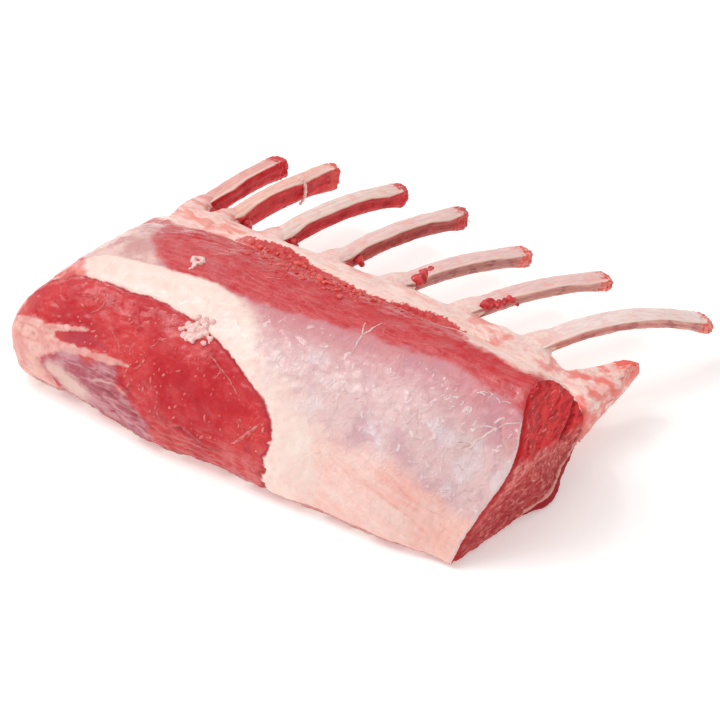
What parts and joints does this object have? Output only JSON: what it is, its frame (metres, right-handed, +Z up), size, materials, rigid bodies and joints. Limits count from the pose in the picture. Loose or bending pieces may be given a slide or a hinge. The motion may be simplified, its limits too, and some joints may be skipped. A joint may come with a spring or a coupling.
{
  "type": "raw rack of lamb",
  "caption": "Raw French-trimmed rack of lamb lying on its flat side, with curved, scraped rib bones along its back edge.",
  "frame": {"origin": "on the surface the rack lies on, under the middle of the whole box", "axes": "+X along the rack to the end that is cut straight, +Y towards the tips of the rib bones, +Z up"},
  "size_m": [0.2018, 0.1692, 0.0513],
  "materials": {
    "meat": "raw red meat under a moist, pale silverskin, with cream fat over part of it",
    "fat": "soft pink and cream fat with streaks of red meat",
    "bone": "scraped bone under a thin moist membrane, with red meat left along one side"
  },
  "bodies": {
    "root": {"loin": "meat", "rib_bed": "fat", "rib_1": "bone", "rib_2": "bone", "rib_3": "bone", "rib_4": "bone", "rib_5": "bone", "rib_6": "bone", "rib_7": "bone", "rib_8": "bone"}
  },
  "joints": []
}
